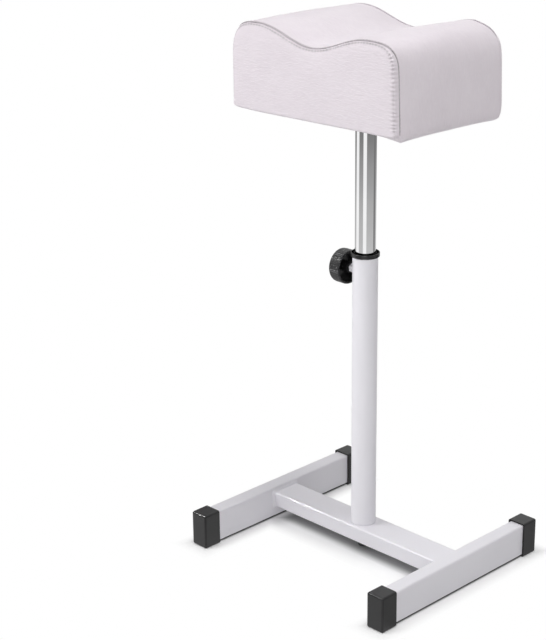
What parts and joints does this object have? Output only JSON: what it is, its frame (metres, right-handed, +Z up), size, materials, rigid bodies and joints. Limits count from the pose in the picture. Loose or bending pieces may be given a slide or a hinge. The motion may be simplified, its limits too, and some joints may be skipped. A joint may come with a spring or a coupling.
{
  "type": "leg and foot rest",
  "caption": "Height-adjustable leg and foot rest: wave-shaped cushion on a chromed telescopic mast, clamped by a ribbed knob in a round post on an H-shaped steel tube base.",
  "frame": {"origin": "on the floor under the axis of the post, at the middle of the base", "axes": "+Z up along the post, X along the crossbar and the length of the cushion with the knob at -X, Y along the runners"},
  "size_m": [0.4008, 0.3508, 0.8227],
  "materials": {
    "white_paint": "white powder coat, half gloss",
    "chrome": "bright chrome plate",
    "black_plastic": "moulded, satin",
    "black_steel": "black oxide",
    "zinc_steel": "zinc plated",
    "nylon": "natural nylon",
    "white_leatherette": "fine pebble grain, soft sheen",
    "foam": "open cell foam",
    "plywood": "raw",
    "black_cloth": "non-woven"
  },
  "bodies": {
    "base": {"left_runner": "white_paint", "right_runner": "white_paint", "crossbar": "white_paint", "left_front_cap": "black_plastic", "left_rear_cap": "black_plastic", "right_front_cap": "black_plastic", "right_rear_cap": "black_plastic", "post_tube": "white_paint", "post_foot_plug": "zinc_steel", "base_bolt": "black_steel", "base_washer": "black_steel", "spring_washer": "black_steel", "collar_bush": "black_plastic", "clamp_nut": "white_paint"},
    "guide": {"guide_bush": "nylon"},
    "mast": {"inner_tube": "chrome", "mount_plate": "white_paint", "plate_screw_1": "zinc_steel", "plate_screw_2": "zinc_steel", "plate_screw_3": "zinc_steel", "plate_screw_4": "zinc_steel", "tee_nut_1": "zinc_steel", "tee_nut_2": "zinc_steel", "tee_nut_3": "zinc_steel", "tee_nut_4": "zinc_steel", "seat_board": "plywood", "foam_block": "foam", "cover_strip": "white_leatherette", "front_panel": "white_leatherette", "rear_panel": "white_leatherette", "bottom_cloth": "black_cloth"},
    "clamp_pad": {"clamp_pad": "nylon"},
    "knob": {"knob": "black_plastic", "knob_stud": "zinc_steel"}
  },
  "joints": [
    {"name": "height_slide", "type": "slide", "parent": "base", "child": "guide", "axis": [0, 0, 1], "range_m": [-0.2, 0.06]},
    {"name": "swivel", "type": "hinge", "parent": "guide", "child": "mast", "pos_m": [0, 0, 0.4825], "axis": [0, 0, 1], "continuous": true},
    {"name": "clamp_press", "type": "slide", "parent": "base", "child": "clamp_pad", "axis": [-1, 0, 0], "range_m": [0, 0.0026]},
    {"name": "knob_turn", "type": "hinge", "parent": "clamp_pad", "child": "knob", "pos_m": [0, 0, 0.4517], "axis": [-1, 0, 0], "range_deg": [0, 720]}
  ],
  "couplings": [
    {"joint": "clamp_press", "follows": "knob_turn", "m_per_rad": 0.00019894}
  ]
}
